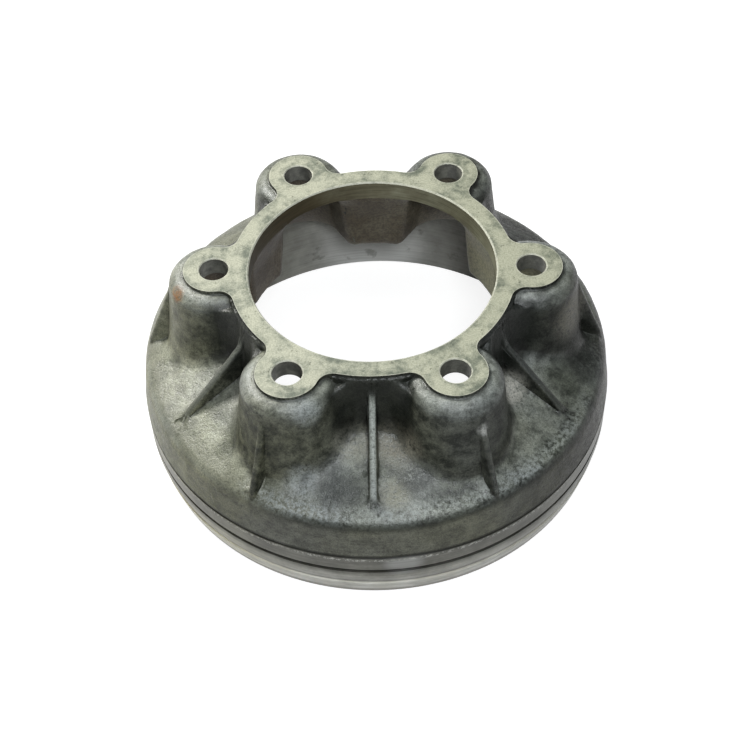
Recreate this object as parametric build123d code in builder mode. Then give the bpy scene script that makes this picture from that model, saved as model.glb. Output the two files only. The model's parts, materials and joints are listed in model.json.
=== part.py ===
from build123d import *
import os
from math import cos, radians, sin, tan

# Brake drum for a six-stud wheel hub: one iron casting with a bolting flange on six hollow bosses,
# a sloping shoulder and a turned rim. It stands on its mouth, with its axis on Z and a stud on +X.
# All sizes are in millimetres. Radii are from the drum's axis and heights from the mouth face.

# Bolting flange
BORE_R = 80.0
STUD_COUNT = 6
STUD_FROM_BORE = 22.5
STUD_HOLE_R = 9.5
FLANGE_T = 13.0
RING_W = 12.5
EAR_R = 20.0
EAR_FILLET = 10.0
PAD_STEP = 2.5
BORE_CHAMFER = 0.8
HOLE_CHAMFER = 0.6

# Cast crown under the flange: a neck that swells into a boss at each stud
CROWN_H = 45.0
NECK_LEDGE = 1.2
BOSS_LEDGE = 0.8
BOSS_ROUND = 9.0
BOSS_ROUND_SWEEP = 66.0
CROWN_DRAFT = 7.0
CROWN_VALLEY_R = 16.0
CROWN_FOOT_FILLET = 7.0
VALLEY_RISE_R = 41.0

# Sloping shoulder
SHOULDER_NECK_INSET = 2.5
SHOULDER_RISE = 25.0
SHOULDER_ROUND = 12.0

# Side of the rim, from the shoulder down to the mouth
SIDE_H = 72.0
WALL_TOP_T = 10.6
RIM_T = 14.2
COLLAR_TOP_Z = 43.0
NICK_W = 2.4
NICK_DEPTH = 1.4
GROOVE_Z = 28.4
GROOVE_W = 3.0
GROOVE_DEPTH = 3.2
LIP_TOP_Z = 22.0
LEDGE_Z = 13.5
LEDGE_STEP = 0.7
MOUTH_EDGE_T = 9.0
MOUTH_EDGE_CHAMFER = 1.0

# Turned inside and the roof over it
FRICTION_FROM_STUDS = 42.5
FRICTION_TOP_FILLET = 5.0
MOUTH_CHAMFER = 1.0
ROOF_EDGE_T = 7.0
ROOF_RISE = 11.0

# Hollow of the crown: a neck with an arm into each boss, and a lobe of wall between two arms
NECK_IN_STEP = 5.0
NECK_IN_DRAFT = 1.5
POCKET_R = 20.5
POCKET_FOOT_INSET = 12.14
POCKET_DRAFT = 7.0
CORE_TOP_ROUND = 10.0
LOBE_ROUND = 7.0
LOBE_FOOT_ROUND = 6.0

# Straight ribs between the bosses
RIB_T = 5.4
RIB_TOP_DROP = 7.5
RIB_TOP_SUNK = 0.6
RIB_BEND_DROP = 20.5
RIB_PROUD = 1.6
RIB_END_INSET = 15.0
RIB_END_PROUD = 3.0

# Fins down the outer side of each boss
FIN_T = 4.6
FIN_TOP_DROP = 11.0
FIN_END_INSET = 3.1
FIN_END_PROUD = 4.6

# Radii worked out from the bore outwards
STUD_CIRCLE_R = BORE_R + STUD_FROM_BORE
RING_R = BORE_R + RING_W
NECK_R = RING_R + NECK_LEDGE
NECK_IN_R = BORE_R + NECK_IN_STEP
SHOULDER_NECK_R = STUD_CIRCLE_R - SHOULDER_NECK_INSET
FRICTION_R = STUD_CIRCLE_R + FRICTION_FROM_STUDS
WALL_TOP_R = FRICTION_R + WALL_TOP_T
RIM_R = FRICTION_R + RIM_T
MOUTH_EDGE_R = FRICTION_R + MOUTH_EDGE_T
RIB_END_R = WALL_TOP_R - RIB_END_INSET
FIN_END_R = WALL_TOP_R - FIN_END_INSET
BOSS_FLAT_R = EAR_R + BOSS_LEDGE
BOSS_R = BOSS_FLAT_R + BOSS_ROUND * sin(radians(BOSS_ROUND_SWEEP))
BOSS_OUT_R = STUD_CIRCLE_R + BOSS_R

# Heights worked out from the mouth upwards
SHOULDER_EDGE_Z = SIDE_H
SHOULDER_NECK_Z = SHOULDER_EDGE_Z + SHOULDER_RISE
HEIGHT = SHOULDER_NECK_Z + CROWN_H
FRICTION_TOP_Z = SHOULDER_EDGE_Z - ROOF_EDGE_T
ROOF_NECK_Z = FRICTION_TOP_Z + ROOF_RISE
CAST_TOP_Z = HEIGHT - PAD_STEP
FLANGE_UNDER_Z = HEIGHT - FLANGE_T
BOSS_ROUND_Z = CAST_TOP_Z - BOSS_ROUND
CROWN_DEPTH = CAST_TOP_Z - SHOULDER_EDGE_Z
CORE_DEPTH = FLANGE_UNDER_Z - FRICTION_TOP_Z
RIB_TOP_Z = HEIGHT - RIB_TOP_DROP
RIB_BEND_Z = HEIGHT - RIB_BEND_DROP
FIN_TOP_Z = HEIGHT - FIN_TOP_DROP

# Places and margins that follow from both
CUT_MARGIN = 1.0
EDGE_FLAT = 0.1
STUD_AXIS = Axis((STUD_CIRCLE_R, 0, 0), (0, 0, 1))
BETWEEN_STUDS = 180.0 / STUD_COUNT
POCKET_FOOT_R = POCKET_R + CORE_DEPTH * tan(radians(POCKET_DRAFT))
POCKET_END_R = FRICTION_R - POCKET_FOOT_INSET - POCKET_FOOT_R


def shoulder_z(radius):
    """Height of the straight part of the shoulder's slope at a radius."""
    slope = (SHOULDER_NECK_Z - SHOULDER_EDGE_Z) / (WALL_TOP_R - SHOULDER_NECK_R)
    return SHOULDER_NECK_Z - (radius - SHOULDER_NECK_R) * slope


def roof_z(radius):
    """Height of the roof inside the drum at a radius."""
    slope = (ROOF_NECK_Z - FRICTION_TOP_Z) / (FRICTION_R - NECK_IN_R)
    return FRICTION_TOP_Z + (FRICTION_R - radius) * slope


def axis_distance(item):
    """Distance from the drum's axis to the middle of an edge."""
    return Vector(item.center().X, item.center().Y).length


def neck_r(height):
    """Radius of the drafted neck at a height."""
    return NECK_R + (CAST_TOP_Z - height) * tan(radians(CROWN_DRAFT))


def lip_r(height):
    """Radius of the tapered lip at a height."""
    foot_r = MOUTH_EDGE_R + MOUTH_EDGE_CHAMFER
    share = (height - MOUTH_EDGE_CHAMFER) / (LIP_TOP_Z - MOUTH_EDGE_CHAMFER)
    return foot_r + (RIM_R - foot_r) * share


# Turned outside of the drum, solid to the axis for now
with BuildPart() as turned:
    rim_outline = [
        (0, 0),
        (MOUTH_EDGE_R, 0),
        (lip_r(MOUTH_EDGE_CHAMFER), MOUTH_EDGE_CHAMFER),
        (lip_r(LEDGE_Z) + LEDGE_STEP / 2, LEDGE_Z),
        (lip_r(LEDGE_Z) - LEDGE_STEP / 2, LEDGE_Z + LEDGE_STEP),
        (RIM_R, LIP_TOP_Z),
        (RIM_R, GROOVE_Z),
        (RIM_R - GROOVE_DEPTH, GROOVE_Z),
        (RIM_R - GROOVE_DEPTH, GROOVE_Z + GROOVE_W),
        (RIM_R, GROOVE_Z + GROOVE_W),
        (RIM_R, COLLAR_TOP_Z),
        (RIM_R - NICK_DEPTH, COLLAR_TOP_Z + NICK_W / 2),
        (RIM_R, COLLAR_TOP_Z + NICK_W),
    ]
    with BuildSketch(Plane.XZ):
        with BuildLine():
            FilletPolyline(
                rim_outline,
                (WALL_TOP_R, SHOULDER_EDGE_Z),
                (BORE_R, shoulder_z(BORE_R)),
                (0, shoulder_z(BORE_R)),
                radius=[0] * len(rim_outline) + [SHOULDER_ROUND, 0, 0],
                close=True,
            )
        make_face()
    revolve(axis=Axis.Z)


# Ring that rounds the top of one boss and lets the valley beside it rise to the neck's edge
with BuildPart() as boss_rounder:
    top_z = CAST_TOP_Z + CUT_MARGIN
    sweep_end = (
        STUD_CIRCLE_R + BOSS_FLAT_R + BOSS_ROUND * sin(radians(BOSS_ROUND_SWEEP + CROWN_DRAFT)),
        BOSS_ROUND_Z + BOSS_ROUND * cos(radians(BOSS_ROUND_SWEEP + CROWN_DRAFT)),
    )
    with BuildSketch(Plane.XZ):
        with BuildLine():
            CenterArc(
                (STUD_CIRCLE_R + BOSS_FLAT_R, BOSS_ROUND_Z),
                BOSS_ROUND,
                90 - BOSS_ROUND_SWEEP - CROWN_DRAFT,
                BOSS_ROUND_SWEEP + CROWN_DRAFT,
            )
            Polyline(
                sweep_end,
                (STUD_CIRCLE_R + VALLEY_RISE_R, CAST_TOP_Z),
                (STUD_CIRCLE_R + VALLEY_RISE_R, top_z),
                (STUD_CIRCLE_R + BOSS_FLAT_R, top_z),
                (STUD_CIRCLE_R + BOSS_FLAT_R, CAST_TOP_Z),
            )
        make_face()
    revolve(axis=STUD_AXIS)
    Cylinder(NECK_R, top_z, align=(Align.CENTER, Align.CENTER, Align.MIN), mode=Mode.SUBTRACT)


# Rib between two bosses, a straight gusset from the neck out to the shoulder
with BuildPart() as rib:
    with BuildSketch(Plane.XZ):
        Polygon(
            (BORE_R, RIB_TOP_Z),
            (neck_r(RIB_TOP_Z) - RIB_TOP_SUNK, RIB_TOP_Z),
            (neck_r(RIB_BEND_Z) + RIB_PROUD, RIB_BEND_Z),
            (RIB_END_R, shoulder_z(RIB_END_R) + RIB_END_PROUD),
            (RIB_END_R, FRICTION_TOP_Z),
            (BORE_R, FRICTION_TOP_Z),
            align=None,
        )
    extrude(amount=RIB_T / 2, both=True)
    outer_edges = rib.edges().filter_by_position(Axis.X, NECK_R, RIB_END_R)
    fillet(outer_edges.filter_by(Axis.Y, reverse=True), radius=RIB_T / 2 - EDGE_FLAT)


# Fin from a boss's rounded top down to the edge of the shoulder
with BuildPart() as fin:
    with BuildSketch(Plane.XZ):
        Polygon(
            (STUD_CIRCLE_R, FIN_TOP_Z),
            (BOSS_OUT_R, FIN_TOP_Z),
            (FIN_END_R, shoulder_z(FIN_END_R) + FIN_END_PROUD),
            (FIN_END_R, FRICTION_TOP_Z),
            (STUD_CIRCLE_R, FRICTION_TOP_Z),
            align=None,
        )
    extrude(amount=FIN_T / 2, both=True)
    outer_edges = fin.edges().filter_by_position(Axis.X, BOSS_OUT_R, FIN_END_R)
    fillet(outer_edges.filter_by(Axis.Y, reverse=True), radius=FIN_T / 2 - EDGE_FLAT)


# Core that leaves the crown hollow
with BuildPart() as core:
    with BuildSketch(Plane.XY.offset(FLANGE_UNDER_Z)):
        Circle(NECK_IN_R)
    extrude(amount=-CORE_DEPTH, taper=-NECK_IN_DRAFT)
    with BuildSketch(Plane.XY.offset(FLANGE_UNDER_Z)):
        with PolarLocations(POCKET_END_R, STUD_COUNT):
            Circle(POCKET_R)
            Rectangle(POCKET_END_R, 2 * POCKET_R, align=(Align.MAX, Align.CENTER))
    extrude(amount=-CORE_DEPTH, taper=-POCKET_DRAFT)
    uprights = core.edges(Select.NEW).filter_by_position(
        Axis.Z, FRICTION_TOP_Z, FLANGE_UNDER_Z, inclusive=(False, False)
    )
    lobe_edges = uprights.sort_by(axis_distance)[: 2 * STUD_COUNT]
    fillet(lobe_edges, radius=LOBE_ROUND)
    core_top = core.faces().sort_by(Axis.Z)[-1]
    fillet(core_top.edges(), radius=CORE_TOP_ROUND)


# Whole hollow of the drum: the turned cavity under the roof, opening into the core
with BuildPart() as hollow:
    with BuildSketch(Plane.XZ):
        with BuildLine():
            FilletPolyline(
                (0, -CUT_MARGIN),
                (FRICTION_R + MOUTH_CHAMFER + CUT_MARGIN, -CUT_MARGIN),
                (FRICTION_R, MOUTH_CHAMFER),
                (FRICTION_R, FRICTION_TOP_Z),
                (BORE_R, roof_z(BORE_R)),
                (0, roof_z(BORE_R)),
                radius=[0, 0, 0, FRICTION_TOP_FILLET, 0, 0],
                close=True,
            )
        make_face()
    revolve(axis=Axis.Z)
    add(core.part)
    core_foot = hollow.edges(Select.NEW).filter_by_position(Axis.Z, FRICTION_TOP_Z, ROOF_NECK_Z)
    fillet(core_foot.filter_by(GeomType.LINE, reverse=True), radius=LOBE_FOOT_ROUND)


with BuildPart() as brake_drum:
    add(turned.part)

    # Crown: neck and bosses in one drafted outline that widens downwards
    with BuildSketch(Plane.XY.offset(CAST_TOP_Z)) as crown_outline:
        Circle(NECK_R)
        with PolarLocations(STUD_CIRCLE_R, STUD_COUNT):
            Circle(BOSS_R)
        fillet(crown_outline.vertices(), radius=CROWN_VALLEY_R)
    extrude(amount=-CROWN_DEPTH, taper=-CROWN_DRAFT)
    crown_foot = brake_drum.edges().filter_by(GeomType.BSPLINE)
    fillet(crown_foot, radius=CROWN_FOOT_FILLET)

    with PolarLocations(0, STUD_COUNT):
        add(boss_rounder.part, mode=Mode.SUBTRACT)
        add(fin.part)
    with PolarLocations(0, STUD_COUNT, start_angle=BETWEEN_STUDS):
        add(rib.part)

    # Machined pad: the ring with an ear round each stud hole, proud of the casting
    with BuildSketch(Plane.XY.offset(CAST_TOP_Z - PAD_STEP)) as pad_outline:
        Circle(RING_R)
        with PolarLocations(STUD_CIRCLE_R, STUD_COUNT):
            Circle(EAR_R)
        fillet(pad_outline.vertices(), radius=EAR_FILLET)
    extrude(amount=2 * PAD_STEP)

    # Hollow, bore and stud holes
    add(hollow.part, mode=Mode.SUBTRACT)
    with Locations((0, 0, HEIGHT)):
        Hole(BORE_R, depth=2 * FLANGE_T)
        with PolarLocations(STUD_CIRCLE_R, STUD_COUNT):
            Hole(STUD_HOLE_R, depth=2 * FLANGE_T)
    flange_rims = brake_drum.faces().sort_by(Axis.Z)[-1].inner_wires().edges()
    chamfer(flange_rims.sort_by(SortBy.RADIUS)[:STUD_COUNT], length=HOLE_CHAMFER)
    flange_rims = brake_drum.faces().sort_by(Axis.Z)[-1].inner_wires().edges()
    chamfer(flange_rims.sort_by(SortBy.RADIUS)[-1], length=BORE_CHAMFER)

brake_drum.part.label = "brake_drum"
os.makedirs("parts", exist_ok=True)
export_step(brake_drum.part, "parts/brake_drum.step")
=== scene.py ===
import json
from math import atan, cos, pi, radians, sin

import bpy
import numpy as np
from mathutils import Matrix, Vector
from mathutils.kdtree import KDTree


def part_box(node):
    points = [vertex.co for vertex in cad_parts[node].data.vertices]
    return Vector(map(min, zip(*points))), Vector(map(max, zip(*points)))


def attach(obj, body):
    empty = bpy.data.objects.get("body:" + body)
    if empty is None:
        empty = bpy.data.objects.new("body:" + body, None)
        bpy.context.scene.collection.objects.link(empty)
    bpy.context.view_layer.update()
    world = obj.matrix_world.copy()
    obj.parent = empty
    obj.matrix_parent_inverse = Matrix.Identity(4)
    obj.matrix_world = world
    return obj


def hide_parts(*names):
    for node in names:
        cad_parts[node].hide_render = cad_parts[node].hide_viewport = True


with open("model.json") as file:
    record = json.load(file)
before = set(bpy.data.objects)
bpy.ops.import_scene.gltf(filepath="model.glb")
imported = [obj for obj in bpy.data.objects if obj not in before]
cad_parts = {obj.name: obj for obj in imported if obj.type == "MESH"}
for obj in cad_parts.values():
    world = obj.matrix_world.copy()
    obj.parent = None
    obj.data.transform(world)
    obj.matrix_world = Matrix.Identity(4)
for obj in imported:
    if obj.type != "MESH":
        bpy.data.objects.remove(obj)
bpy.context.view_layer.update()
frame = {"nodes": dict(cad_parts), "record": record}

# Brake drum of cast iron, standing on its mouth. Lengths are in metres, in the frame of the CAD model.

MM = 0.001
NODE = "brake_drum"
mounts = {mount["name"]: mount for mount in frame["record"]["mounts"]}
_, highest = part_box(NODE)

# Sizes that the frame gives
TOP_Z = highest[2]
BORE_R = mounts["hub_bore"]["dims"]["r_mm"] * MM
FRICTION_R = mounts["friction_bore"]["dims"]["r_mm"] * MM
FRICTION_TOP_Z = (mounts["friction_bore"]["dims"]["length_mm"] + 1.0) * MM
STUD_COUNT = mounts["stud_holes"]["dims"]["count"]
STUD_CIRCLE_R = mounts["stud_holes"]["dims"]["pcd_mm"] / 2 * MM
STUD_HOLE_R = mounts["stud_holes"]["dims"]["hole_r_mm"] * MM

# Lengths that part the finishes
PAD_STEP = 2.5 * MM
CHAMFER = 1.0 * MM
BORE_DEPTH = 16.0 * MM
TURNED_TOP_Z = 45.4 * MM
TURNED_IN_R = 153.0 * MM
SHOULDER_EDGE_Z = 72.0 * MM
ROUND_IN_R = TURNED_IN_R - 10 * MM
ROUND_TOP_Z = SHOULDER_EDGE_Z - 4 * MM
PAD_EDGE = 7.0 * MM
SNAP = 0.08 * MM

# Normals and shares that part the finishes
CORE_UPWARD = -0.01
CORE_OUTWARD = 0.25
FACED_UPWARD = 0.5
FLAT_UPWARD = 0.95
WHOLE = 0.999
SHARP_TURN = radians(32)

# Finishes, in the order of the material slots
CAST, FACED, BORE, HOLE, TURNED, FRICTION, CORE = range(7)

# Longest edge of a facet in each finish
EDGE_LIMIT = {
    CAST: 2.5 * MM,
    FACED: 2.0 * MM,
    BORE: 5.0 * MM,
    HOLE: 3.0 * MM,
    TURNED: 4.0 * MM,
    FRICTION: 9.0 * MM,
    CORE: 5.0 * MM,
}

# Share of the facets that is kept once the casting has its shape
KEPT_FACETS = 0.36

# Filling of the casting's inner corners and rounding of its creases
FILL_ROUNDS = 36
SOFT_ROUNDS = 320
FILL_STEP = 0.7
PAD_CLEAR = (PAD_STEP + 0.5 * MM, PAD_STEP + 4 * MM)
SMOOTH_ROUNDS = 6
SMOOTH_STEP = 0.5
UNSMOOTH_STEP = -0.52

# Places where the casting flows most, each from where it starts to where it is full
FIN_HALF = (26 * MM, 14 * MM)
FIN_START_R = (122 * MM, 130 * MM)
CRISP_FIN = radians(-60)
CRISP_COSINE = (0.93, 0.86)
CORNER_R = (110 * MM, 102 * MM)
CORNER_Z = (108 * MM, 118 * MM)
SOFT_CALM = 0.8

# Bulges, painted lighter as wear and highlight, and hollows, painted darker as dirt and shade, as inverse
# radii
BULGE_BLUR = 3
WORN_RANGE = (10.0, 55.0)
SUNK_RANGE = (10.0, 70.0)

# The neck, painted near black as dirt and shade, and the tops of the ribs
NECK_RANGE = (116 * MM, 103 * MM)
NECK_RISE = (92 * MM, 108 * MM)
NECK_CLEAR = (25 * MM, 29 * MM)
CREST_HALF = (2.5 * MM, 1.3 * MM)
RIB_REACH = (95 * MM, 98 * MM, 143 * MM, 139 * MM)

# Lumps that sand leaves: size and height
LUMP_SIZES = ((11.0 * MM, 0.16 * MM), (5.0 * MM, 0.10 * MM))

# Numbers that stir the cells of the noise
SEED_STEP = 17.31
AXIS_PRIMES = (73856093, 19349663, 83492791)
STIR_PRIME = 1274126177
LEVELS = 0xFFFF


def value_noise(points, size, seed):
    """Smooth noise from -1 to 1, with features of a size, the same on every run."""
    spot = points / size + seed * SEED_STEP
    cell = np.floor(spot).astype(np.int64)
    part = spot - cell
    part = part * part * (3 - 2 * part)
    total = np.zeros(len(points))
    for corner in range(8):
        offset = np.array([corner >> 2 & 1, corner >> 1 & 1, corner & 1])
        key = (cell + offset).astype(np.uint64)
        mixed = np.zeros(len(points), np.uint64)
        for axis, prime in enumerate(AXIS_PRIMES):
            mixed ^= key[:, axis] * np.uint64(prime)
        mixed = (mixed ^ (mixed >> np.uint64(13))) * np.uint64(STIR_PRIME)
        mixed = mixed ^ (mixed >> np.uint64(16))
        level = (mixed & np.uint64(LEVELS)).astype(float) / LEVELS * 2 - 1
        weight = np.prod(np.where(offset == 1, part, 1 - part), axis=1)
        total += weight * level
    return total


def smoothstep(value, low, high):
    share = np.clip((value - low) / (high - low), 0, 1)
    return share * share * (3 - 2 * share)


def stud_distance(points):
    """Distance to the axis of the nearest stud hole."""
    angles = np.arange(STUD_COUNT) * 2 * pi / STUD_COUNT
    studs = STUD_CIRCLE_R * np.stack([np.cos(angles), np.sin(angles)], axis=1)
    return np.min(np.linalg.norm(points[:, None, :2] - studs[None], axis=2), axis=1)


def way_round(points, start):
    """Distance from the nearest of the six planes through the axis, the first of them at an angle."""
    step = 2 * pi / STUD_COUNT
    angle = np.arctan2(points[:, 1], points[:, 0]) - start
    angle = (angle + step / 2) % step - step / 2
    return np.abs(np.hypot(points[:, 0], points[:, 1]) * np.sin(angle))


def soft_places(points):
    """Where the casting flows most: along all fins but the crisp one, and in the corners beside the pad."""
    radius = np.hypot(points[:, 0], points[:, 1])
    fin = smoothstep(way_round(points, 0), *FIN_HALF) * smoothstep(radius, *FIN_START_R)
    towards_crisp = points[:, :2] @ (cos(CRISP_FIN), sin(CRISP_FIN)) / radius
    fin *= smoothstep(towards_crisp, *CRISP_COSINE)
    corner = smoothstep(radius, *CORNER_R) * smoothstep(stud_distance(points), *NECK_CLEAR)
    corner *= smoothstep(points[:, 2], *CORNER_Z)
    return np.maximum(fin, corner)


def neck_share(points):
    """How much a point belongs to the neck between the bosses, up to the edge of the pad, which is painted
    near black as dirt and painted shade.
    """
    radius = np.hypot(points[:, 0], points[:, 1])
    neck = smoothstep(radius, *NECK_RANGE) * smoothstep(points[:, 2], *NECK_RISE)
    return neck * smoothstep(stud_distance(points), *NECK_CLEAR)


def crest_share(points):
    """How much a point lies on the top of a rib."""
    radius = np.hypot(points[:, 0], points[:, 1])
    crest = smoothstep(way_round(points, pi / STUD_COUNT), *CREST_HALF)
    return crest * smoothstep(radius, *RIB_REACH[:2]) * smoothstep(radius, *RIB_REACH[2:])


def mesh_points(mesh):
    points = np.zeros(len(mesh.vertices) * 3)
    mesh.vertices.foreach_get("co", points)
    return points.reshape(-1, 3)


def mesh_arrays(mesh):
    """Points, triangles and finishes of a mesh of triangles."""
    triangles = np.zeros(len(mesh.loops), np.int64)
    mesh.loops.foreach_get("vertex_index", triangles)
    finish = np.zeros(len(mesh.polygons), np.int64)
    mesh.polygons.foreach_get("material_index", finish)
    return mesh_points(mesh), triangles.reshape(-1, 3), finish


def cad_triangles():
    """Points and triangles of the CAD node, with the points that lie on each other joined."""
    mesh = frame["nodes"][NODE].data
    mesh.calc_loop_triangles()
    points = mesh_points(mesh)
    triangles = np.zeros(len(mesh.loop_triangles) * 3, np.int64)
    mesh.loop_triangles.foreach_get("vertices", triangles)
    rounded = np.round(points / (0.001 * MM))
    _, first, joined = np.unique(rounded, axis=0, return_index=True, return_inverse=True)
    triangles = joined.reshape(-1)[triangles.reshape(-1, 3)]
    a, b, c = triangles.T
    triangles = triangles[(a != b) & (b != c) & (c != a)]
    return points[first], triangles


def triangle_sides(triangles):
    """The ends of each side, three sides per triangle, with the lower point first."""
    return np.sort(triangles[:, [[0, 1], [1, 2], [2, 0]]].reshape(-1, 2), axis=1)


def unit(vectors):
    return vectors / np.maximum(np.linalg.norm(vectors, axis=1, keepdims=True), 1e-18)


def area_vectors(points, triangles):
    """A vector along each triangle's normal, as long as twice its area."""
    a, b, c = (points[triangles[:, corner]] for corner in range(3))
    return np.cross(b - a, c - a)


def triangle_normals(points, triangles):
    return unit(area_vectors(points, triangles))


def point_normals(points, triangles):
    areas = area_vectors(points, triangles)
    corners = triangles.T.ravel()
    sums = [np.bincount(corners, np.tile(areas[:, axis], 3), len(points)) for axis in range(3)]
    return unit(np.stack(sums, axis=1))


def finish_of(points, triangles):
    """The finish of each triangle, from where it lies and which way it faces."""
    middle = points[triangles].mean(axis=1)
    radius = np.hypot(middle[:, 0], middle[:, 1])
    height = middle[:, 2]
    stud = stud_distance(middle)
    normals = triangle_normals(points, triangles)
    upward = normals[:, 2]
    outward = (normals[:, 0] * middle[:, 0] + normals[:, 1] * middle[:, 1]) / radius
    below_face = height < TOP_Z - 0.5 * CHAMFER

    core = (upward < CORE_UPWARD) & (outward < CORE_OUTWARD)
    turned = (radius > TURNED_IN_R) & (height < TURNED_TOP_Z) | (height < CHAMFER)
    friction = (np.abs(radius - FRICTION_R) < 3 * CHAMFER) & (height > CHAMFER)
    friction &= height < FRICTION_TOP_Z + SNAP
    bore = (radius < BORE_R + SNAP) & below_face & (height > TOP_Z - BORE_DEPTH)
    faced = (height > TOP_Z - CHAMFER) & ((radius < BORE_R + CHAMFER) | (upward > FACED_UPWARD))
    hole = (stud < STUD_HOLE_R + SNAP) & below_face & (radius > BORE_R + CHAMFER)

    finish = np.full(len(triangles), CAST)
    finish[core] = CORE
    finish[turned] = TURNED
    finish[friction] = FRICTION
    finish[bore] = BORE
    finish[faced] = FACED
    finish[hole] = HOLE
    return finish


def on_turned_face(points):
    """Whether each point lies on a face that was made by turning, where edges bend round the axis."""
    radius = np.hypot(points[:, 0], points[:, 1])
    height = points[:, 2]
    rim = (radius > ROUND_IN_R) & (height < ROUND_TOP_Z)
    wall = np.abs(radius - BORE_R) < CHAMFER + SNAP
    return rim | wall


def split_long_edges(points, triangles, finish):
    """Halves each edge that is over its limit until none is. Edges on turned faces follow the circle."""
    limit_of = np.array([EDGE_LIMIT[kind] for kind in range(len(EDGE_LIMIT))])
    while True:
        edges, side_edge = np.unique(triangle_sides(triangles), axis=0, return_inverse=True)
        side_edge = side_edge.reshape(-1)
        limit = np.full(len(edges), np.inf)
        np.minimum.at(limit, side_edge, np.repeat(limit_of[finish], 3))
        start, end = points[edges[:, 0]], points[edges[:, 1]]
        long = np.linalg.norm(end - start, axis=1) > limit
        if not long.any():
            return points, triangles, finish
        middle = (start[long] + end[long]) / 2
        turned = on_turned_face(start[long]) & on_turned_face(end[long])
        radius = (np.hypot(*start[long][:, :2].T) + np.hypot(*end[long][:, :2].T)) / 2
        scale = np.where(turned, radius / np.hypot(*middle[:, :2].T), 1.0)
        middle[:, :2] *= scale[:, None]
        new = np.full(len(edges), -1)
        new[long] = len(points) + np.arange(len(middle))
        points = np.vstack([points, middle])
        triangles, finish = split_triangles(triangles, finish, new[side_edge].reshape(-1, 3))


def split_triangles(triangles, finish, middles):
    """Triangles after their marked sides are halved. middles holds a new point per side, or -1."""
    marked = middles >= 0
    count = marked.sum(axis=1)
    pieces = [triangles[count == 0]]
    finishes = [finish[count == 0]]
    for sides in (1, 2, 3):
        rows = np.nonzero(count == sides)[0]
        if sides == 1:
            first = np.argmax(marked[rows], axis=1)
        else:
            first = (np.argmin(marked[rows], axis=1) + 1) % 3
        turn = (first[:, None] + np.arange(3)) % 3
        a, b, c = np.take_along_axis(triangles[rows], turn, axis=1).T
        p, q, r = np.take_along_axis(middles[rows], turn, axis=1).T
        if sides == 1:
            parts = [(a, p, c), (p, b, c)]
        elif sides == 2:
            parts = [(p, b, q), (a, p, q), (a, q, c)]
        else:
            parts = [(a, p, r), (p, b, q), (r, q, c), (p, q, r)]
        pieces += [np.stack(part, axis=1) for part in parts]
        finishes += [finish[rows]] * len(parts)
    return np.vstack(pieces), np.concatenate(finishes)


def point_shares(count, triangles, chosen):
    """For each point, the share of its triangles that are chosen."""
    total = np.bincount(triangles.ravel(), minlength=count)
    some = np.bincount(triangles[chosen].ravel(), minlength=count)
    return some / np.maximum(total, 1)


class Neighbours:
    """The points that share an edge with each point of a mesh."""

    def __init__(self, count, triangles):
        sides = np.unique(triangle_sides(triangles), axis=0)
        self.ends = np.vstack([sides, sides[:, ::-1]])
        self.count = count
        self.degree = np.maximum(np.bincount(self.ends[:, 0], minlength=count), 1)

    def mean(self, values):
        """For each point, the mean of a value over its neighbours."""
        total = np.bincount(self.ends[:, 0], values[self.ends[:, 1]], minlength=self.count)
        return total / self.degree

    def mean_place(self, points):
        return np.stack([self.mean(points[:, axis]) for axis in range(3)], axis=1)

    def mean_reach(self, points):
        """For each point, the mean length of its edges."""
        lengths = np.linalg.norm(points[self.ends[:, 0]] - points[self.ends[:, 1]], axis=1)
        return np.bincount(self.ends[:, 0], lengths, minlength=self.count) / self.degree


def soften(points, neighbours, weight):
    """Rounds the creases of the casting a little, without shrinking it."""
    for turn in range(2 * SMOOTH_ROUNDS):
        step = SMOOTH_STEP if turn % 2 == 0 else UNSMOOTH_STEP
        points = points + (neighbours.mean_place(points) - points) * (step * weight)[:, None]
    return points


def fill_creases(points, triangles, weight, rounds):
    """Fills the inner corners of the casting to soft blends and leaves its outer edges as they are."""
    local = triangles[weight[triangles].max(axis=1) > 0]
    used, corners = np.unique(local, return_inverse=True)
    local = corners.reshape(-1, 3)
    places, step = points[used], FILL_STEP * weight[used]
    neighbours = Neighbours(len(used), local)
    for _ in range(rounds):
        normals = point_normals(places, local)
        gap = np.einsum("ij,ij->i", neighbours.mean_place(places) - places, normals)
        places = places + normals * (step * np.maximum(gap, 0))[:, None]
    points = points.copy()
    points[used] = places
    return points


def bulge(points, triangles, neighbours):
    """How much the surface bulges at each point, as the inverse of a radius. Hollows are negative."""
    inwards = points - neighbours.mean_place(points)
    drop = np.einsum("ij,ij->i", inwards, point_normals(points, triangles))
    curve = 2 * drop / neighbours.mean_reach(points) ** 2
    for _ in range(BULGE_BLUR):
        curve = (curve + neighbours.mean(curve)) / 2
    return curve


def roughen(points, triangles, weight):
    """Moves the points of the casting in and out, as sand leaves them."""
    normals = point_normals(points, triangles)
    lift = np.zeros(len(points))
    for seed, (size, height) in enumerate(LUMP_SIZES):
        lift += height * value_noise(points, size, seed + 1)
    return points + normals * (lift * weight)[:, None]


def edge_nearness(points, flat_share):
    """On the pad, 1 at its edges and 0 from PAD_EDGE inwards."""
    edge = np.nonzero((flat_share > 0) & (flat_share < WHOLE))[0]
    tree = KDTree(len(edge))
    for index in edge:
        tree.insert(points[index], index)
    tree.balance()
    nearness = np.zeros(len(points))
    for index in np.nonzero(flat_share > 0)[0]:
        nearness[index] = max(0.0, 1 - tree.find(points[index])[2] / PAD_EDGE)
    return nearness


def set_field(mesh, name, values):
    """Keeps a value per point, for the materials to read."""
    attribute = mesh.attributes.new(name, "FLOAT", "POINT")
    attribute.data.foreach_set("value", values.astype(np.float32))


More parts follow.
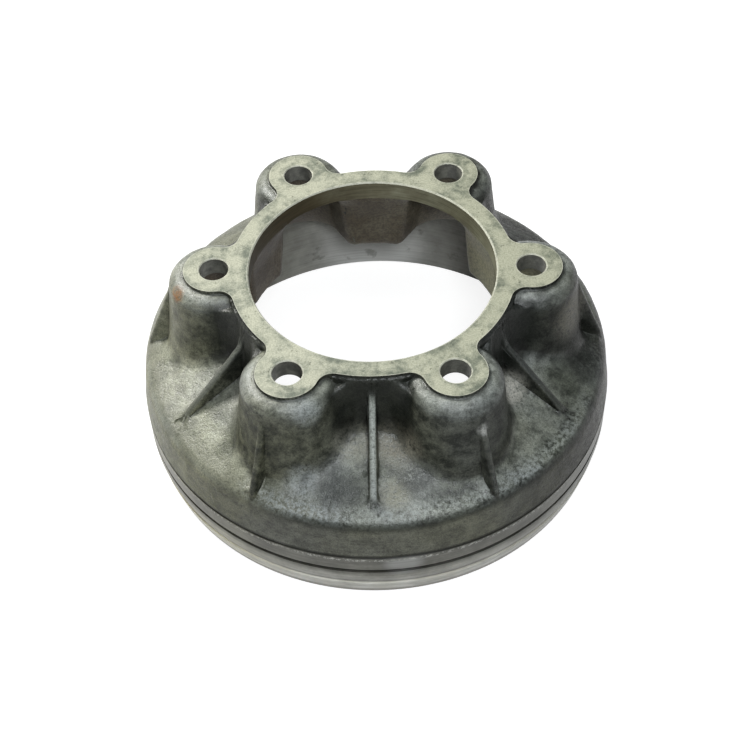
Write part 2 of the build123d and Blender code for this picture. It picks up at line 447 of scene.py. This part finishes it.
def lighten(piece, inner):
    """Joins the facets that crowd on the casting and leaves the machined faces as they are."""
    group = piece.vertex_groups.new(name="inner")
    group.add(np.nonzero(inner)[0].tolist(), 1.0, "REPLACE")
    modifier = piece.modifiers.new("lighten", "DECIMATE")
    modifier.ratio = KEPT_FACETS
    modifier.vertex_group = group.name
    modifier.vertex_group_factor = 1000.0
    heavy = piece.data
    evaluated = piece.evaluated_get(bpy.context.evaluated_depsgraph_get())
    piece.data = bpy.data.meshes.new_from_object(evaluated)
    piece.modifiers.clear()
    piece.vertex_groups.clear()
    bpy.data.meshes.remove(heavy)
    piece.data.name = "drum_casting"


def mark_sharp_edges(mesh):
    """Shades the mesh smooth and keeps the edges of machined faces crisp."""
    points, triangles, finish = mesh_arrays(mesh)
    normals = triangle_normals(points, triangles)
    sides = triangle_sides(triangles)
    owner = np.repeat(np.arange(len(triangles)), 3)
    order = np.lexsort((sides[:, 1], sides[:, 0]))
    sides, owner = sides[order], owner[order]
    pair = np.nonzero((sides[:-1] == sides[1:]).all(axis=1))[0]
    one, two = owner[pair], owner[pair + 1]
    turn = np.einsum("ij,ij->i", normals[one], normals[two])
    cast = np.isin(finish, (CAST, CORE))
    sharp = (turn < cos(SHARP_TURN)) & ~(cast[one] & cast[two])
    edges = np.zeros(2 * len(mesh.edges), np.int32)
    mesh.edges.foreach_get("vertices", edges)
    edges = np.sort(edges.reshape(-1, 2).astype(np.int64), axis=1)
    sharp_sides = sides[pair[sharp]]
    flags = np.isin(edges @ (len(points), 1), sharp_sides @ (len(points), 1))
    mesh.polygons.foreach_set("use_smooth", np.ones(len(triangles), bool))
    mesh.edges.foreach_set("use_edge_sharp", flags)
    mesh.update()


def build_drum():
    """The drum from the CAD facets: finer, with soft corners, sandy lumps and fields for the materials."""
    points, triangles = cad_triangles()
    finish = finish_of(points, triangles)
    points, triangles, finish = split_long_edges(points, triangles, finish)
    neighbours = Neighbours(len(points), triangles)
    cast_share = point_shares(len(points), triangles, np.isin(finish, (CAST, CORE)))
    inner = (cast_share > WHOLE).astype(float)
    below_pad = inner * smoothstep(TOP_Z - points[:, 2], *PAD_CLEAR)
    points = fill_creases(points, triangles, below_pad, FILL_ROUNDS)
    points = fill_creases(points, triangles, below_pad * soft_places(points), SOFT_ROUNDS)
    points = soften(points, neighbours, inner)
    curve = bulge(points, triangles, neighbours) * inner
    points = roughen(points, triangles, inner)

    mesh = bpy.data.meshes.new("drum_casting")
    mesh.from_pydata(points.tolist(), [], triangles.tolist())
    mesh.polygons.foreach_set("material_index", finish)
    flat = (finish == FACED) & (triangle_normals(points, triangles)[:, 2] > FLAT_UPWARD)
    flat_share = point_shares(len(points), triangles, flat)
    crisp = 1 - SOFT_CALM * soft_places(points)
    set_field(mesh, "worn_and_highlit", smoothstep(curve, *WORN_RANGE) * crisp)
    set_field(mesh, "sunk_and_shaded", smoothstep(-curve, *SUNK_RANGE) * crisp)
    set_field(mesh, "neck", neck_share(points))
    set_field(mesh, "crest", crest_share(points))
    set_field(mesh, "rim", (flat_share < WHOLE).astype(float))
    set_field(mesh, "pad_edge", edge_nearness(points, flat_share))
    drum = bpy.data.objects.new("drum_casting", mesh)
    bpy.context.scene.collection.objects.link(drum)
    lighten(drum, inner)
    mark_sharp_edges(drum.data)
    return drum


drum = build_drum()
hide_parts(NODE)
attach(drum, "root")


# Materials


class Shader:
    """A material's node tree with short ways to add nodes to it."""

    def __init__(self, name):
        self.material = bpy.data.materials.new(name)
        self.material.use_nodes = True
        self.tree = self.material.node_tree
        self.tree.nodes.clear()
        self.surface = self.tree.nodes.new("ShaderNodeBsdfPrincipled")
        output = self.tree.nodes.new("ShaderNodeOutputMaterial")
        self.tree.links.new(self.surface.outputs["BSDF"], output.inputs["Surface"])
        self.place = self.tree.nodes.new("ShaderNodeTexCoord").outputs["Object"]

    def put(self, socket, value):
        if isinstance(value, bpy.types.NodeSocket):
            self.tree.links.new(value, socket)
        elif isinstance(value, tuple) and len(value) == 3 and socket.type == "RGBA":
            socket.default_value = (*value, 1.0)
        else:
            socket.default_value = value

    def noise(self, scale, detail=3.0, roughness=0.55, place=None):
        node = self.tree.nodes.new("ShaderNodeTexNoise")
        self.put(node.inputs["Vector"], place or self.place)
        self.put(node.inputs["Scale"], scale)
        self.put(node.inputs["Detail"], detail)
        self.put(node.inputs["Roughness"], roughness)
        return node.outputs["Fac"]

    def span(self, value, low, high, start=0.0, end=1.0):
        node = self.tree.nodes.new("ShaderNodeMapRange")
        node.interpolation_type = "SMOOTHSTEP"
        numbers = {"Value": value, "From Min": low, "From Max": high, "To Min": start, "To Max": end}
        for name, number in numbers.items():
            self.put(node.inputs[name], number)
        return node.outputs["Result"]

    def math(self, operation, first, second=0.0):
        node = self.tree.nodes.new("ShaderNodeMath")
        node.operation = operation
        self.put(node.inputs[0], first)
        self.put(node.inputs[1], second)
        return node.outputs["Value"]

    def mix(self, share, first, second, blend="MIX"):
        node = self.tree.nodes.new("ShaderNodeMix")
        node.data_type = "RGBA"
        node.blend_type = blend
        self.put(node.inputs["Factor"], share)
        self.put(node.inputs["A"], first)
        self.put(node.inputs["B"], second)
        return node.outputs["Result"]

    def tint(self, share, colour, by):
        """The colour, multiplied by another where the share is high."""
        return self.mix(share, colour, by, "MULTIPLY")

    def bump(self, height, distance, strength=1.0, under=None):
        node = self.tree.nodes.new("ShaderNodeBump")
        self.put(node.inputs["Height"], height)
        self.put(node.inputs["Distance"], distance)
        self.put(node.inputs["Strength"], strength)
        if under is not None:
            self.put(node.inputs["Normal"], under)
        return node.outputs["Normal"]

    def field(self, name):
        node = self.tree.nodes.new("ShaderNodeAttribute")
        node.attribute_name = name
        return node.outputs["Fac"]

    def axis(self, vector, name):
        node = self.tree.nodes.new("ShaderNodeSeparateXYZ")
        self.put(node.inputs["Vector"], vector)
        return node.outputs[name]

    def upward(self, low, high, start=0.0, end=1.0):
        """How far the surface faces up."""
        normal = self.tree.nodes.new("ShaderNodeNewGeometry").outputs["Normal"]
        return self.span(self.axis(normal, "Z"), low, high, start, end)

    def vector_math(self, operation, first, second=(0.0, 0.0, 0.0)):
        node = self.tree.nodes.new("ShaderNodeVectorMath")
        node.operation = operation
        self.put(node.inputs[0], first)
        self.put(node.inputs[1], second)
        return node.outputs

    def stretched(self, along_x, along_y, along_z):
        """The place on the object, scaled by axis."""
        return self.vector_math("MULTIPLY", self.place, (along_x, along_y, along_z))["Vector"]

    def from_axis(self):
        """Distance from the drum's axis."""
        return self.vector_math("LENGTH", self.stretched(1.0, 1.0, 0.0))["Value"]

    def near(self, spot, reach):
        """Falls from 1 at a spot to 0 at its reach, both in millimetres."""
        spot = tuple(length * MM for length in spot)
        distance = self.vector_math("DISTANCE", self.place, spot)["Value"]
        return self.span(distance, reach * MM, 0.3 * reach * MM)

    def band(self, value, low, high):
        """1 from low to high and 0 outside, with soft ends."""
        soft = 0.3 * (high - low)
        rise = self.span(value, low - soft / 2, low + soft / 2)
        return self.both(rise, self.span(value, high + soft / 2, high - soft / 2))

    def both(self, first, second):
        return self.math("MULTIPLY", first, second)

    def finish(self, colour, roughness, metallic, normal=None):
        self.put(self.surface.inputs["Base Color"], colour)
        self.put(self.surface.inputs["Roughness"], roughness)
        self.put(self.surface.inputs["Metallic"], metallic)
        if normal is not None:
            self.put(self.surface.inputs["Normal"], normal)
        return self.material


# Marks on the casting, some of them painted highlights and painted shade: place and reach in millimetres,
# and colour
MARKS = {
    "rust on the left boss": ((-125.6, -15.9, 135.9), 8, (0.30, 0.13, 0.03)),
    "pale sand by the right rib": ((85, -63, 93), 17, (0.62, 0.60, 0.54)),
    "dust on the right boss": ((129, -15, 112), 24, (0.22, 0.21, 0.175)),
    "chips on the crisp fin": ((68, -117.5, 120), 6, (0.55, 0.55, 0.52)),
    "dust left of the front rib": ((-13, -103, 95), 21, (0.34, 0.335, 0.285)),
    "dust right of the front rib": ((17, -105, 94), 23, (0.29, 0.27, 0.23)),
    "dust at the end of the front rib": ((13, -136, 80), 14, (0.33, 0.325, 0.265)),
    # Painted highlights: pale bluish spots where light glints on the front left foot and boss
    "painted highlight at the front left foot": ((-44, -129, 84), 15, (0.38, 0.405, 0.40)),
    "painted highlight on the front left boss": ((-38, -113, 134), 13, (0.40, 0.43, 0.42)),
    # Painted shade: dark patches on the shoulder beside the front rib, where the rib and the boss shade it
    "painted shade left of the rib's end": ((-24, -133, 81), 17, (0.06, 0.066, 0.06)),
    "painted shadow right of the front rib": ((27, -126, 84), 17, (0.07, 0.075, 0.068)),
    # Painted shadow: the right boss's cast shadow on the shoulder, near black
    "painted shadow of the right boss": ((142, -20, 78), 34, (0.018, 0.020, 0.016)),
}

# Heights at which the casting's colour changes, each from where it starts to where it is full
GLINT_FLECK_Z = (69.0 * MM, 72.5 * MM)
SIDE_Z = (71.0 * MM, 68.0 * MM)
LINE_TOP_Z = (73.8 * MM, 71.6 * MM)
LINE_FOOT_Z = (65.5 * MM, 69.2 * MM)
LOW_DARK_Z = (47.5 * MM, 46.0 * MM)


def cast_iron():
    """Dark sandy skin, with pale dust where it faces up, bulges lighter as wear and painted highlight,
    hollows and the neck black as dirt and painted shade, and painted light and shade by side, on the rib
    crests and along the shoulder's edge.
    """
    shader = Shader("cast_skin")
    patches = shader.noise(20.0, 4.0, 0.6)
    blotches = shader.noise(95.0, 6.0, 0.72)
    flecks = shader.noise(420.0, 3.0, 0.7)
    grain = shader.noise(1100.0, 2.0, 0.6)
    clouds = shader.noise(36.0, 3.0, 0.5)
    hue = shader.noise(14.0, 3.0, 0.5)
    streaks = shader.noise(1.0, 3.0, 0.6, shader.stretched(40.0, 40.0, 700.0))
    across = shader.axis(shader.place, "X")
    along = shader.axis(shader.place, "Y")
    height = shader.axis(shader.place, "Z")
    radius = shader.from_axis()

    wall = shader.mix(shader.span(blotches, 0.34, 0.68), (0.022, 0.025, 0.020), (0.175, 0.182, 0.155))
    # Painted shade: walls darker towards the right side, away from the key light
    wall = shader.tint(shader.span(across, 0.02, 0.125, 0.0, 0.95), wall, (0.3, 0.31, 0.3))
    skin = shader.mix(shader.span(blotches, 0.34, 0.66), (0.09, 0.098, 0.088), (0.34, 0.36, 0.335))
    dust = shader.mix(shader.span(blotches, 0.30, 0.66), (0.20, 0.205, 0.165), (0.40, 0.41, 0.34))
    left = shader.span(across, 0.02, -0.11)
    reach = shader.math("ADD", left, shader.span(patches, 0.35, 0.7, -0.45, 0.4))
    reach.node.use_clamp = True
    skin = shader.mix(reach, skin, dust)
    skin = shader.tint(shader.span(clouds, 0.52, 0.34, 0.0, 0.85), skin, (0.42, 0.44, 0.40))
    # Painted shade: the shoulder darker on the right side
    skin = shader.tint(shader.span(across, 0.07, 0.15, 0.0, 0.4), skin, (0.5, 0.51, 0.5))
    skin = shader.tint(shader.span(along, 0.02, 0.10), skin, (0.66, 0.66, 0.65))
    rounded = shader.both(shader.span(radius, 0.137, 0.149), shader.span(across, 0.0, -0.05))
    skin = shader.mix(shader.both(rounded, 0.7), skin, (0.215, 0.22, 0.18))
    wall = shader.mix(shader.span(across, -0.10, -0.14, 0.0, 0.55), wall, dust)
    # Painted light: walls a little lighter on the left side, towards the key light
    wall = shader.tint(shader.span(across, 0.0, -0.08), wall, (1.12, 1.1, 0.98))
    colour = shader.mix(shader.upward(0.35, 0.85), wall, skin)
    # Painted shade: darker at the back right
    behind = shader.both(shader.span(along, 0.03, 0.09), shader.span(across, 0.0, 0.05))
    colour = shader.tint(behind, colour, (0.58, 0.58, 0.55))

    speckled = shader.span(flecks, 0.3, 0.6, 0.25, 0.95)
    for spot, reach, tone in MARKS.values():
        colour = shader.mix(shader.both(shader.near(spot, reach), speckled), colour, tone)
    # Bulges lighter and bluish: partly wear, partly painted highlight on rounded edges
    worn_and_highlit = shader.both(shader.field("worn_and_highlit"), shader.span(blotches, 0.35, 0.6, 0.15, 0.55))
    colour = shader.mix(worn_and_highlit, colour, (0.26, 0.28, 0.27))
    # The neck painted near black: partly dirt, partly painted shade under the flange and between the bosses
    colour = shader.mix(shader.both(shader.field("neck"), 0.88), colour, (0.012, 0.0145, 0.012))
    # Hollows darker: partly dirt, partly painted shade in creases and beside the ribs
    colour = shader.tint(shader.both(shader.field("sunk_and_shaded"), 0.8), colour, (0.25, 0.26, 0.25))
    # Rib crests: a pale bluish painted highlight on the front rib, and painted shade on the crests to the
    # right
    crest = shader.mix(shader.span(across, 0.03, 0.08), (0.46, 0.495, 0.50), (0.05, 0.055, 0.05))
    crest = shader.mix(shader.span(across, -0.03, -0.08), crest, (0.125, 0.132, 0.11))
    topped = shader.both(shader.field("crest"), shader.span(flecks, 0.3, 0.5, 0.5, 0.95))
    colour = shader.mix(topped, colour, crest)

    # Painted highlights: pale bluish flecks along the front edge of the shoulder, where light glints
    edge = shader.both(shader.span(radius, 0.140, 0.150), shader.span(along, -0.02, -0.11))
    edge = shader.both(edge, shader.span(height, *GLINT_FLECK_Z))
    edge = shader.both(edge, shader.span(flecks, 0.40, 0.62))
    edge = shader.both(edge, shader.span(across, -0.095, -0.055))
    edge = shader.both(edge, shader.upward(0.3, 0.6))
    colour = shader.mix(edge, colour, (0.40, 0.43, 0.425))
    band = shader.mix(
        shader.span(blotches, 0.3, 0.7), (0.110, 0.112, 0.094), (0.255, 0.258, 0.216)
    )
    # Painted light: the side band lighter on the left
    band = shader.tint(shader.span(across, -0.06, -0.14), band, (1.35, 1.35, 1.15))
    band = shader.tint(shader.span(streaks, 0.6, 0.38), band, (0.86, 0.86, 0.85))
    # Painted shade: the side band darker on the right
    band = shader.tint(shader.span(across, 0.05, 0.14), band, (0.3, 0.3, 0.3))
    colour = shader.mix(shader.span(height, *SIDE_Z), colour, band)
    # Painted shade: a dark line on the steep part of the shoulder's round
    line = shader.both(shader.span(height, *LINE_TOP_Z), shader.span(height, *LINE_FOOT_Z))
    line = shader.both(line, shader.span(across, -0.11, -0.03))
    colour = shader.tint(line, colour, (0.35, 0.36, 0.34))
    # Darker towards the foot of the side band
    colour = shader.tint(shader.span(height, *LOW_DARK_Z), colour, (0.3, 0.3, 0.29))

    colour = shader.tint(shader.span(hue, 0.40, 0.62), colour, (1.0, 0.99, 0.89))
    colour = shader.tint(shader.span(flecks, 0.46, 0.30), colour, (0.55, 0.56, 0.55))
    colour = shader.tint(shader.span(grain, 0.60, 0.36), colour, (0.66, 0.67, 0.66))

    normal = shader.bump(blotches, 1.0 * MM, 0.7)
    normal = shader.bump(flecks, 0.5 * MM, 0.6, normal)
    normal = shader.bump(grain, 0.2 * MM, 0.8, normal)
    shader.put(shader.surface.inputs["Specular IOR Level"], shader.upward(0.15, 0.75, 0.14, 0.6))
    return shader.finish(colour, shader.span(flecks, 0.3, 0.7, 0.30, 0.50), 0.0, normal)


def faced_iron():
    """Milled face with greenish stains that start at its edges, dark specks and bright rims."""
    shader = Shader("faced_iron")
    stains = shader.noise(46.0, 6.0, 0.74)
    specks = shader.noise(300.0, 4.0, 0.7)
    grain = shader.noise(1000.0, 2.0, 0.5)
    across = shader.axis(shader.place, "X")
    spread = shader.math("ADD", stains, shader.both(shader.field("pad_edge"), 0.10))
    colour = shader.mix(shader.span(spread, 0.47, 0.72), (0.50, 0.505, 0.395), (0.15, 0.17, 0.13))
    # Painted shade: the pads darker towards the right side
    colour = shader.tint(shader.span(across, -0.06, 0.10, 0.0, 0.5), colour, (0.75, 0.76, 0.70))
    colour = shader.tint(shader.span(specks, 0.61, 0.73), colour, (0.36, 0.37, 0.34))
    colour = shader.tint(shader.span(grain, 0.65, 0.35), colour, (0.74, 0.74, 0.72))
    rim = shader.span(shader.field("rim"), 0.5, 0.95)
    rubbed = shader.both(rim, shader.span(specks, 0.35, 0.6, 0.2, 0.75))
    colour = shader.mix(rubbed, colour, (0.60, 0.60, 0.50))
    normal = shader.bump(grain, 0.08 * MM, 0.6)
    return shader.finish(colour, shader.span(stains, 0.4, 0.7, 0.42, 0.6), 0.0, normal)


def bore_iron():
    """Turned bore, dark brown on one side as rust and painted shade."""
    shader = Shader("bore_iron")
    tone = shader.noise(30.0, 5.0, 0.65)
    rings = shader.noise(1.0, 3.0, 0.6, shader.stretched(40.0, 40.0, 900.0))
    across = shader.axis(shader.place, "X")
    colour = shader.mix(shader.span(tone, 0.35, 0.7), (0.26, 0.24, 0.16), (0.44, 0.43, 0.305))
    colour = shader.tint(shader.span(across, 0.02, 0.07, 0.0, 0.9), colour, (0.52, 0.54, 0.48))
    # Dark brown on the left: rust with painted shade, as this side faces away from the key light
    colour = shader.mix(shader.span(across, 0.02, -0.06, 0.0, 0.92), colour, (0.045, 0.028, 0.006))
    colour = shader.tint(shader.span(rings, 0.6, 0.35), colour, (0.7, 0.7, 0.68))
    shader.put(shader.surface.inputs["Specular IOR Level"], 0.12)
    return shader.finish(colour, 0.55, 0.0)


def hole_iron():
    """Drilled stud holes, dull and dark."""
    shader = Shader("hole_iron")
    tone = shader.noise(160.0, 4.0, 0.65)
    colour = shader.mix(shader.span(tone, 0.35, 0.7), (0.10, 0.10, 0.088), (0.22, 0.22, 0.19))
    return shader.finish(colour, 0.5, 0.0)


# Painted highlight on the front of the collar, place and reach in millimetres
COLLAR_SHINE = ((18, -158, 37), 17)

# Bands round the rim, by their lower and upper edge
NICK_BAND = (43.2 * MM, 46.2 * MM)
CHIPPED_BAND = (40.5 * MM, 42.8 * MM)
GROOVE_BAND = (28.3 * MM, 31.5 * MM)
LIP_LINE_BAND = (15.5 * MM, 17.2 * MM)

# Heights at which the rim's colour changes, each from where it starts to where it is full
LIP_Z = (27.5 * MM, 23.5 * MM)
FOOT_Z = (16.0 * MM, 14.0 * MM)
SOLE_Z = (5.5 * MM, 3.0 * MM)


def turned_iron():
    """Turned rim with fine rings, stains and chips, painted highlights on the collar and the foot, and
    painted shade in the groove, the nick and on the right.
    """
    shader = Shader("turned_iron")
    tone = shader.noise(45.0, 5.0, 0.65)
    smears = shader.noise(1.0, 3.0, 0.6, shader.stretched(30.0, 30.0, 160.0))
    flecks = shader.noise(500.0, 3.0, 0.7)
    rings = shader.noise(1.0, 4.0, 0.65, shader.stretched(5.0, 5.0, 800.0))
    across = shader.axis(shader.place, "X")
    height = shader.axis(shader.place, "Z")
    toned = shader.span(tone, 0.35, 0.7)
    colour = shader.mix(toned, (0.145, 0.142, 0.118), (0.29, 0.285, 0.245))
    # Painted highlight: a pale spot on the front of the collar
    colour = shader.mix(shader.near(*COLLAR_SHINE), colour, (0.43, 0.43, 0.41))
    chips = shader.both(shader.band(height, *CHIPPED_BAND), shader.span(flecks, 0.50, 0.58))
    colour = shader.mix(chips, colour, (0.62, 0.62, 0.57))
    lip = shader.mix(toned, (0.33, 0.32, 0.278), (0.58, 0.57, 0.51))
    # The foot of the rim painted near white: a painted reflection of the bright floor on the lower taper
    foot = shader.mix(toned, (0.80, 0.775, 0.68), (0.98, 0.96, 0.88))
    foot = shader.mix(shader.span(height, *SOLE_Z), foot, (0.36, 0.33, 0.27))
    lip = shader.mix(shader.span(height, *FOOT_Z), lip, foot)
    lip = shader.tint(shader.band(height, *LIP_LINE_BAND), lip, (0.6, 0.595, 0.58))
    colour = shader.mix(shader.span(height, *LIP_Z), colour, lip)
    colour = shader.tint(shader.span(rings, 0.58, 0.40), colour, (0.82, 0.82, 0.80))
    # The groove and the nick painted dark: painted shade in these recesses, with grease in the groove
    colour = shader.tint(shader.band(height, *GROOVE_BAND), colour, (0.07, 0.07, 0.066))
    colour = shader.tint(shader.band(height, *NICK_BAND), colour, (0.16, 0.16, 0.152))
    colour = shader.tint(shader.span(smears, 0.52, 0.36, 0.0, 0.7), colour, (0.6, 0.6, 0.58))
    # Painted shade: the rim darker on the right
    colour = shader.tint(shader.span(across, 0.05, 0.13, 0.0, 0.6), colour, (0.6, 0.6, 0.58))
    colour = shader.tint(shader.span(across, -0.04, -0.12), colour, (1.04, 1.02, 0.86))
    normal = shader.bump(rings, 0.15 * MM, 0.6)
    shader.put(shader.surface.inputs["Specular IOR Level"], 0.3)
    return shader.finish(colour, 0.36, 0.0, normal)


# Painted reflection of the floor on the friction surface, place and reach in millimetres
FLOOR_REFLECTION_SPOT = ((-4, 145, 14), 52)


def friction_iron():
    """Friction surface, grey with dark smudges, a painted reflection of the floor at the back and painted
    shade at the sides.
    """
    shader = Shader("friction_iron")
    tone = shader.noise(26.0, 5.0, 0.65)
    smudges = shader.noise(70.0, 4.0, 0.6)
    rings = shader.noise(1.0, 3.0, 0.6, shader.stretched(20.0, 20.0, 900.0))
    across = shader.axis(shader.place, "X")
    colour = shader.mix(shader.span(tone, 0.36, 0.66), (0.32, 0.316, 0.29), (0.52, 0.515, 0.48))
    # Painted reflection: a pale spot where the lit floor shows in the wall
    colour = shader.mix(shader.both(shader.near(*FLOOR_REFLECTION_SPOT), 0.85), colour, (0.95, 0.95, 0.92))
    # Painted shade: the friction surface darker to the right and a little to the left
    colour = shader.tint(shader.span(across, 0.02, 0.08), colour, (0.36, 0.352, 0.33))
    colour = shader.tint(shader.span(across, -0.03, -0.08), colour, (0.84, 0.84, 0.80))
    colour = shader.tint(shader.span(smudges, 0.60, 0.72), colour, (0.6, 0.6, 0.58))
    colour = shader.tint(shader.span(rings, 0.6, 0.35), colour, (0.85, 0.85, 0.84))
    shader.put(shader.surface.inputs["Specular IOR Level"], 0.2)
    return shader.finish(colour, 0.42, 0.0)


def core_iron():
    """Rough inside of the crown and the roof, brownish where rust has run, paler on one side as painted
    light and darker on the other as painted shade.
    """
    shader = Shader("core_skin")
    tone = shader.noise(40.0, 5.0, 0.65)
    grain = shader.noise(600.0, 2.0, 0.6)
    across = shader.axis(shader.place, "X")
    colour = shader.mix(shader.span(tone, 0.38, 0.66), (0.10, 0.080, 0.050), (0.19, 0.168, 0.12))
    # Painted light: paler olive on the right, where the key light falls
    colour = shader.mix(shader.span(across, 0.05, 0.075, 0.0, 0.9), colour, (0.25, 0.245, 0.145))
    # Darker and browner on the left: rust with painted shade
    colour = shader.tint(shader.span(across, -0.04, -0.075, 0.0, 0.8), colour, (0.6, 0.5, 0.4))
    colour = shader.tint(shader.span(grain, 0.62, 0.36), colour, (0.6, 0.6, 0.6))
    normal = shader.bump(grain, 0.4 * MM, 0.8)
    shader.put(shader.surface.inputs["Specular IOR Level"], 0.3)
    return shader.finish(colour, 0.55, 0.0, normal)


for make in (cast_iron, faced_iron, bore_iron, hole_iron, turned_iron, friction_iron, core_iron):
    drum.data.materials.append(make())


# Camera, from the fit of the rings and holes in the photograph

PICTURE_PX = 750
SENSOR_MM = 36.0
FOCAL_PX = 1504.56
CAMERA_DISTANCE = 0.97219
CAMERA_ELEVATION = radians(45.47)
CAMERA_ROLL = radians(2.18)
CAMERA_AZIMUTH = radians(-1.93)
FLANGE_CENTRE_PX = (376.36, 266.90)


def add_camera():
    """Looks at the middle of the flange, then turns until that point lies where the photograph has it."""
    back = Vector((0, -cos(CAMERA_ELEVATION), sin(CAMERA_ELEVATION)))
    right = Vector((1, 0, 0))
    level = Matrix((right, right.cross(-back), -back))
    pan = Matrix.Rotation(atan((FLANGE_CENTRE_PX[0] - PICTURE_PX / 2) / FOCAL_PX), 3, "Y")
    tilt = Matrix.Rotation(-atan((PICTURE_PX / 2 - FLANGE_CENTRE_PX[1]) / FOCAL_PX), 3, "X")
    roll = Matrix.Rotation(CAMERA_ROLL, 3, "Z")
    turn = Matrix.Rotation(CAMERA_AZIMUTH, 3, "Z")
    axes = roll @ pan @ tilt @ level @ turn
    place = turn.transposed() @ (back * CAMERA_DISTANCE) + Vector((0, 0, TOP_Z))
    data = bpy.data.cameras.new("camera")
    data.sensor_width = SENSOR_MM
    data.lens = SENSOR_MM * FOCAL_PX / PICTURE_PX
    camera = bpy.data.objects.new("camera", data)
    facing = Matrix((axes[0], axes[1], -axes[2])).transposed().to_4x4()
    camera.matrix_world = Matrix.Translation(place) @ facing
    bpy.context.scene.collection.objects.link(camera)
    bpy.context.scene.camera = camera


add_camera()


# Floor and light

FLOOR_SIZE = 8.0
FLOOR_COLOUR = (0.4, 0.4, 0.4)
FLOOR_GLOW = 0.86
ROOM_LIGHT = 0.10
ROOM_SHOWN = 0.9
ROOM_COLOUR = (0.96, 0.98, 1.0, 1.0)
LIGHT_AIM = Vector((0, 0, 0.08))

# Lamps: place, size, power and tint
LAMPS = {
    "key": ((-0.72, 0.52, 0.95), 0.4, 16.0, (1.0, 0.985, 0.95)),
    "overhead": ((0.0, -0.05, 0.9), 0.35, 1.4, (0.94, 0.98, 1.0)),
    "front": ((0.1, -0.62, 0.88), 0.22, 4.5, (0.93, 0.97, 1.0)),
}


def add_floor():
    """A white table top that shows nearly white and keeps a faint shadow."""
    half = FLOOR_SIZE / 2
    mesh = bpy.data.meshes.new("floor")
    corners = [(-half, -half, 0), (half, -half, 0), (half, half, 0), (-half, half, 0)]
    mesh.from_pydata(corners, [], [(0, 1, 2, 3)])
    floor = bpy.data.objects.new("floor", mesh)
    bpy.context.scene.collection.objects.link(floor)
    shader = Shader("floor_white")
    shader.put(shader.surface.inputs["Emission Color"], (1.0, 1.0, 1.0))
    path = shader.tree.nodes.new("ShaderNodeLightPath")
    seen = shader.math("MAXIMUM", path.outputs["Is Camera Ray"], path.outputs["Is Transmission Ray"])
    seen = shader.math("MAXIMUM", seen, path.outputs["Is Glossy Ray"])
    shader.put(shader.surface.inputs["Emission Strength"], shader.both(seen, FLOOR_GLOW))
    mesh.materials.append(shader.finish(FLOOR_COLOUR, 1.0, 0.0))


def add_area_light(name, place, size, power, tint):
    light = bpy.data.lights.new(name, "AREA")
    light.shape = "DISK"
    light.size = size
    light.energy = power
    light.color = tint
    lamp = bpy.data.objects.new(name, light)
    lamp.location = place
    lamp.rotation_euler = (LIGHT_AIM - Vector(place)).to_track_quat("-Z", "Y").to_euler()
    lamp.visible_camera = False
    bpy.context.scene.collection.objects.link(lamp)


def add_world():
    """Even light from all sides, which shows as white behind the floor."""
    world = bpy.data.worlds.new("room")
    world.use_nodes = True
    nodes, links = world.node_tree.nodes, world.node_tree.links
    background = nodes["Background"]
    background.inputs["Color"].default_value = ROOM_COLOUR
    path = nodes.new("ShaderNodeLightPath")
    seen = nodes.new("ShaderNodeMath")
    seen.operation = "MAXIMUM"
    links.new(path.outputs["Is Camera Ray"], seen.inputs[0])
    links.new(path.outputs["Is Transmission Ray"], seen.inputs[1])
    strength = nodes.new("ShaderNodeMapRange")
    strength.inputs["To Min"].default_value = ROOM_LIGHT
    strength.inputs["To Max"].default_value = ROOM_SHOWN
    links.new(seen.outputs["Value"], strength.inputs["Value"])
    links.new(strength.outputs["Result"], background.inputs["Strength"])
    bpy.context.scene.world = world


add_floor()
add_world()
for name, lamp in LAMPS.items():
    add_area_light(name, *lamp)
bpy.context.scene.view_settings.view_transform = "Standard"
